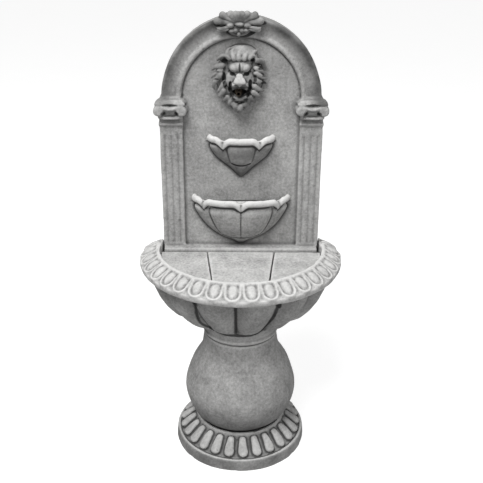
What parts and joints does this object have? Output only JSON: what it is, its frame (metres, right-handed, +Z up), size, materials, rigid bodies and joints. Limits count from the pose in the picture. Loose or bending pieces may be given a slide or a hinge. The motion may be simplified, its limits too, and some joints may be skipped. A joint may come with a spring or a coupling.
{
  "type": "garden wall fountain",
  "caption": "Free-standing cast-stone wall fountain: lion mask spout over lobed bowls, half-round basin with pump on a globe pedestal.",
  "frame": {"origin": "middle of the plinth's flat underside", "axes": "+Z up, the fountain's front faces -Y, the wall it stands against is at +Y, +X is to the right of someone facing it"},
  "size_m": [0.64, 0.43, 1.353],
  "materials": {
    "cast_stone": "weathered cast stone",
    "stainless": "satin",
    "brass": "dull, tarnished",
    "black_rubber": "matt",
    "hose_vinyl": "satin",
    "black_plastic": "fine matt",
    "shaft_ceramic": "ground",
    "foam": "open-cell foam"
  },
  "bodies": {
    "stand": {"plinth": "cast_stone", "globe": "cast_stone", "basin": "cast_stone", "back_panel": "cast_stone", "shell_crest": "cast_stone", "lion_mask": "cast_stone", "upper_bowl": "cast_stone", "middle_bowl": "cast_stone", "bowl_studs": "stainless", "bowl_washers": "stainless", "bowl_nuts": "stainless", "ornament_pins": "stainless", "panel_dowels": "stainless", "wall_inserts": "stainless", "hose_clamps": "stainless", "spout_pipe": "brass", "spout_nut": "brass", "spout_elbow": "brass", "spout_washer": "black_rubber", "shaft_bushes": "black_rubber", "suction_feet": "black_rubber", "supply_hose": "hose_vinyl", "pump_housing": "black_plastic", "impeller_cover": "black_plastic", "cable_gland": "black_plastic", "impeller_shaft": "shaft_ceramic"},
    "left_plate": {"cover_plate_left": "cast_stone"},
    "centre_plate": {"cover_plate_centre": "cast_stone"},
    "right_plate": {"cover_plate_right": "cast_stone"},
    "stopper": {"drain_stopper": "black_rubber"},
    "rotor": {"impeller": "black_plastic"},
    "strainer": {"strainer_cover": "black_plastic", "filter_foam": "foam"},
    "dial": {"flow_dial": "black_plastic"}
  },
  "joints": [
    {"name": "left_plate_lift", "type": "slide", "parent": "stand", "child": "left_plate", "axis": [0, 0, 1], "range_m": [0, 0.08]},
    {"name": "right_plate_lift", "type": "slide", "parent": "stand", "child": "right_plate", "axis": [0, 0, 1], "range_m": [0, 0.08]},
    {"name": "centre_plate_tip", "type": "hinge", "parent": "stand", "child": "centre_plate", "pos_m": [0, 0.1162, 0.609], "axis": [-1, 0, 0], "range_deg": [0, 50]},
    {"name": "stopper_pull", "type": "slide", "parent": "stand", "child": "stopper", "axis": [0, 0, 1], "range_m": [0, 0.045]},
    {"name": "impeller_spin", "type": "hinge", "parent": "stand", "child": "rotor", "pos_m": [0, 0.058, 0.507], "axis": [1, 0, 0], "continuous": true},
    {"name": "strainer_pull", "type": "slide", "parent": "stand", "child": "strainer", "axis": [-1, 0, 0], "range_m": [0, 0.035]},
    {"name": "flow_turn", "type": "hinge", "parent": "strainer", "child": "dial", "pos_m": [-0.052, 0.058, 0.507], "axis": [-1, 0, 0], "range_deg": [0, 90]}
  ]
}
